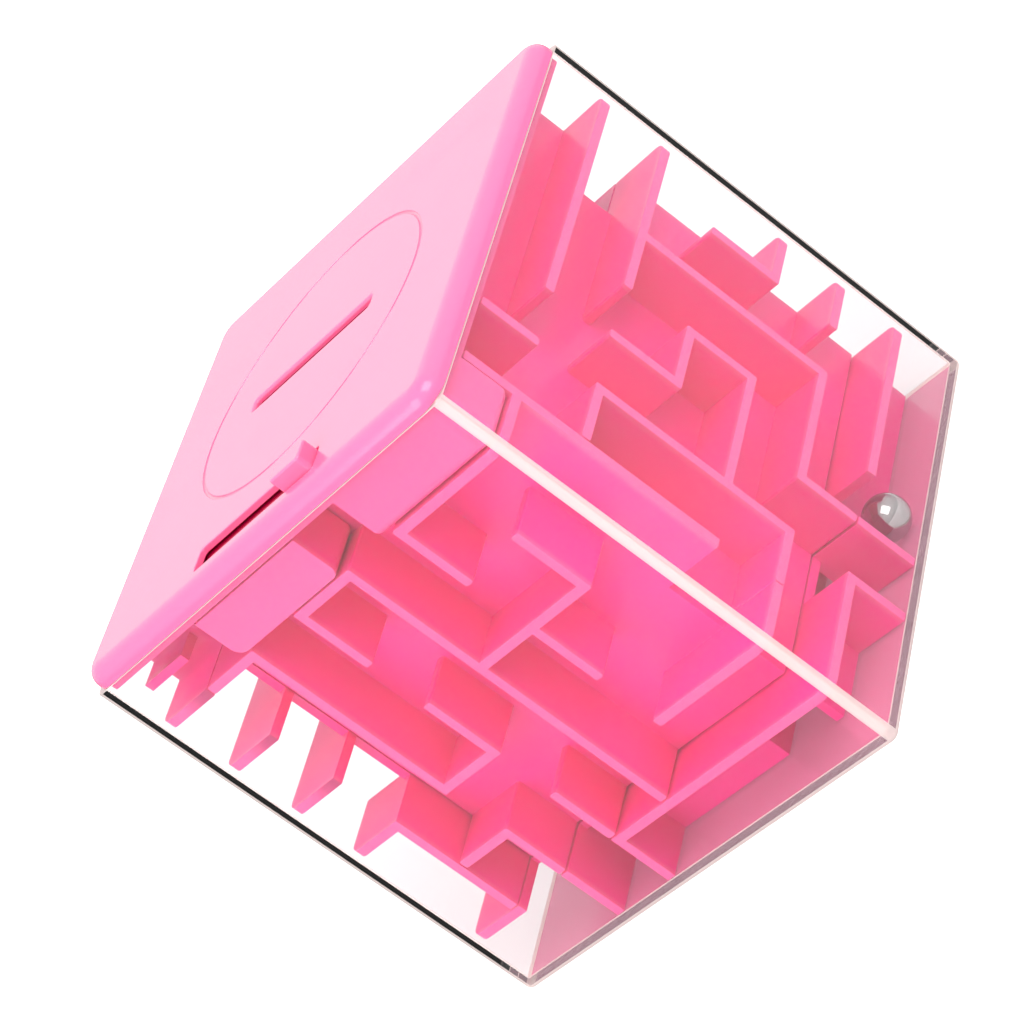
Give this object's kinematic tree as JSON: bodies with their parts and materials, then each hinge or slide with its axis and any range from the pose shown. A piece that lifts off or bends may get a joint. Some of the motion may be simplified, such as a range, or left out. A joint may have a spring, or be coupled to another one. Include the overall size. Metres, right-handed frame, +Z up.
{
  "type": "maze ball puzzle box",
  "caption": "Cube-shaped ball maze puzzle: clear case round a money box whose ribbed faces form a rolling maze, with a slotted lid, a sliding latch and a steel ball.",
  "frame": {"origin": "centre of the clear case's underside", "axes": "+Z up through the lid, -Y out of the front face (the one with the latch at its top edge), +X to the right of that face"},
  "size_m": [0.088, 0.088, 0.0926],
  "materials": {
    "clear_plastic": "clear gloss styrene, polished, faintly grey at its edges",
    "maze_plastic": "semi-gloss moulded warm pink, slightly translucent",
    "lid_plastic": "gloss moulded pale pink",
    "ball_steel": "polished steel",
    "screw_steel": "zinc plated"
  },
  "bodies": {
    "case": {"clear_case": "clear_plastic", "front_maze_panel": "maze_plastic", "right_maze_panel": "maze_plastic", "back_maze_panel": "maze_plastic", "left_maze_panel": "maze_plastic", "bottom_maze_panel": "maze_plastic"},
    "ball": {"steel_ball": "ball_steel"},
    "lid": {"lid_cover": "lid_plastic", "lid_base": "maze_plastic", "lid_screw_1": "screw_steel", "lid_screw_2": "screw_steel", "lid_screw_3": "screw_steel", "lid_screw_4": "screw_steel"},
    "latch": {"latch_knob": "lid_plastic", "latch_bolt": "maze_plastic", "latch_screw_1": "screw_steel", "latch_screw_2": "screw_steel"}
  },
  "joints": [
    {"name": "ball_roll", "type": "slide", "parent": "case", "child": "ball", "axis": [0, 1, 0], "range_m": [-0.0048, 0.0343]},
    {"name": "lid_lift", "type": "slide", "parent": "case", "child": "lid", "axis": [0, 0, 1], "range_m": [0, 0.03]},
    {"name": "latch_slide", "type": "slide", "parent": "lid", "child": "latch", "axis": [-1, 0, 0], "range_m": [0, 0.0215]}
  ]
}
